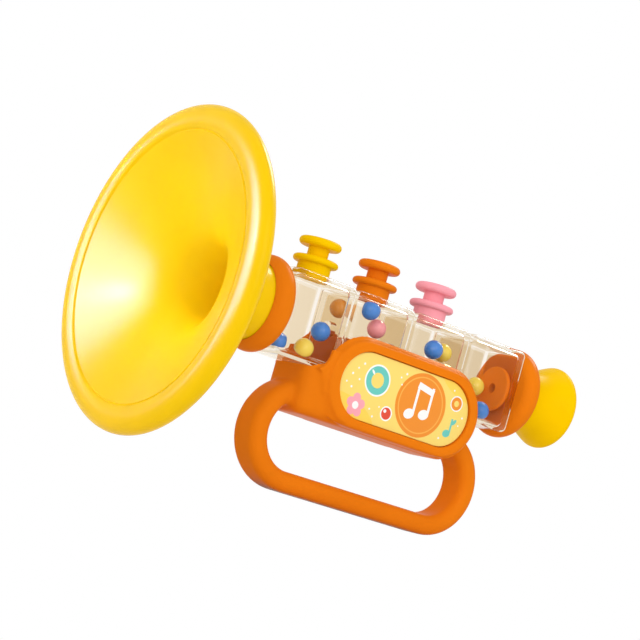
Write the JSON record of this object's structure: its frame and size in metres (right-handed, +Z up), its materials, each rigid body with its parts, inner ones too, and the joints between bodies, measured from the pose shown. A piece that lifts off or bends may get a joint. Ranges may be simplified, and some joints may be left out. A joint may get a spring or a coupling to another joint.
{
  "type": "toy trumpet",
  "caption": "Toy trumpet with a wide bell, clear bead-filled boxes, sprung press valves, a loop handle with a badge and a flared mouthpiece.",
  "frame": {"origin": "bottom centre of the trumpet's box, at the handle's flat underside", "axes": "+X from the bell to the mouthpiece, along the tube; +Y from the front badge to the rear badge; +Z up through the valves"},
  "size_m": [0.217, 0.1334, 0.1365],
  "materials": {
    "yellow_plastic": "glossy moulded plastic",
    "orange_plastic": "glossy moulded plastic",
    "pink_plastic": "glossy moulded plastic",
    "clear_plastic": "clear polished plastic",
    "blue_plastic": "glossy moulded plastic",
    "badge_print": "printed glossy label on a plastic plate",
    "white_plastic": "plain moulded plastic",
    "steel": "plain steel",
    "reed_brass": "thin brass"
  },
  "bodies": {
    "trumpet": {"bell": "yellow_plastic", "front_collar": "orange_plastic", "case_front": "clear_plastic", "case_rear": "clear_plastic", "rear_collar": "orange_plastic", "mouthpiece": "yellow_plastic", "whistle_tube": "white_plastic", "whistle_reed": "reed_brass", "handle_front": "orange_plastic", "handle_rear": "orange_plastic", "badge_front": "badge_print", "badge_rear": "badge_print", "handle_screw_1": "steel", "handle_screw_2": "steel", "handle_screw_3": "steel", "handle_screw_4": "steel", "valve_cap_1": "yellow_plastic", "valve_cap_2": "orange_plastic", "valve_cap_3": "pink_plastic", "valve_spring_1": "steel", "valve_spring_2": "steel", "valve_spring_3": "steel"},
    "button_1": {"valve_button_1": "yellow_plastic"},
    "button_2": {"valve_button_2": "orange_plastic"},
    "button_3": {"valve_button_3": "pink_plastic"},
    "bead_yellow_1": {"bead_yellow_1": "yellow_plastic"},
    "bead_blue_1": {"bead_blue_1": "blue_plastic"},
    "bead_blue_2": {"bead_blue_2": "blue_plastic"},
    "bead_blue_3": {"bead_blue_3": "blue_plastic"},
    "bead_pink_1": {"bead_pink_1": "pink_plastic"},
    "bead_orange_1": {"bead_orange_1": "orange_plastic"},
    "bead_blue_4": {"bead_blue_4": "blue_plastic"},
    "bead_yellow_2": {"bead_yellow_2": "yellow_plastic"},
    "bead_yellow_3": {"bead_yellow_3": "yellow_plastic"},
    "bead_blue_5": {"bead_blue_5": "blue_plastic"}
  },
  "joints": [
    {"name": "button_1_press", "type": "slide", "parent": "trumpet", "child": "button_1", "axis": [0, 0, -1], "range_m": [0, 0.003], "stiffness_N_per_m": 200, "springref_m": -0.001, "deforming": ["valve_spring_1"]},
    {"name": "button_2_press", "type": "slide", "parent": "trumpet", "child": "button_2", "axis": [0, 0, -1], "range_m": [0, 0.003], "stiffness_N_per_m": 200, "springref_m": -0.001, "deforming": ["valve_spring_2"]},
    {"name": "button_3_press", "type": "slide", "parent": "trumpet", "child": "button_3", "axis": [0, 0, -1], "range_m": [0, 0.003], "stiffness_N_per_m": 200, "springref_m": -0.001, "deforming": ["valve_spring_3"]},
    {"name": "bead_yellow_1_drop", "type": "slide", "parent": "trumpet", "child": "bead_yellow_1", "axis": [0, 0, 1], "range_m": [0, 0.02381]},
    {"name": "bead_blue_1_drop", "type": "slide", "parent": "trumpet", "child": "bead_blue_1", "axis": [0, 0, 1], "range_m": [-0.00911, 0.0147]},
    {"name": "bead_blue_2_drop", "type": "slide", "parent": "trumpet", "child": "bead_blue_2", "axis": [0, 0, 1], "range_m": [0, 0.02381]},
    {"name": "bead_blue_3_drop", "type": "slide", "parent": "trumpet", "child": "bead_blue_3", "axis": [0, 0, 1], "range_m": [-0.02394, 0]},
    {"name": "bead_pink_1_drop", "type": "slide", "parent": "trumpet", "child": "bead_pink_1", "axis": [0, 0, 1], "range_m": [-0.01823, 0.00559]},
    {"name": "bead_orange_1_drop", "type": "slide", "parent": "trumpet", "child": "bead_orange_1", "axis": [0, 0, 1], "range_m": [-0.02187, 0.00194]},
    {"name": "bead_blue_4_drop", "type": "slide", "parent": "trumpet", "child": "bead_blue_4", "axis": [0, 0, 1], "range_m": [-0.01774, 0.00608]},
    {"name": "bead_yellow_2_drop", "type": "slide", "parent": "trumpet", "child": "bead_yellow_2", "axis": [0, 0, 1], "range_m": [-0.01835, 0.00547]},
    {"name": "bead_yellow_3_drop", "type": "slide", "parent": "trumpet", "child": "bead_yellow_3", "axis": [0, 0, 1], "range_m": [-0.01081, 0.013]},
    {"name": "bead_blue_5_drop", "type": "slide", "parent": "trumpet", "child": "bead_blue_5", "axis": [0, 0, 1], "range_m": [0, 0.02381]}
  ]
}
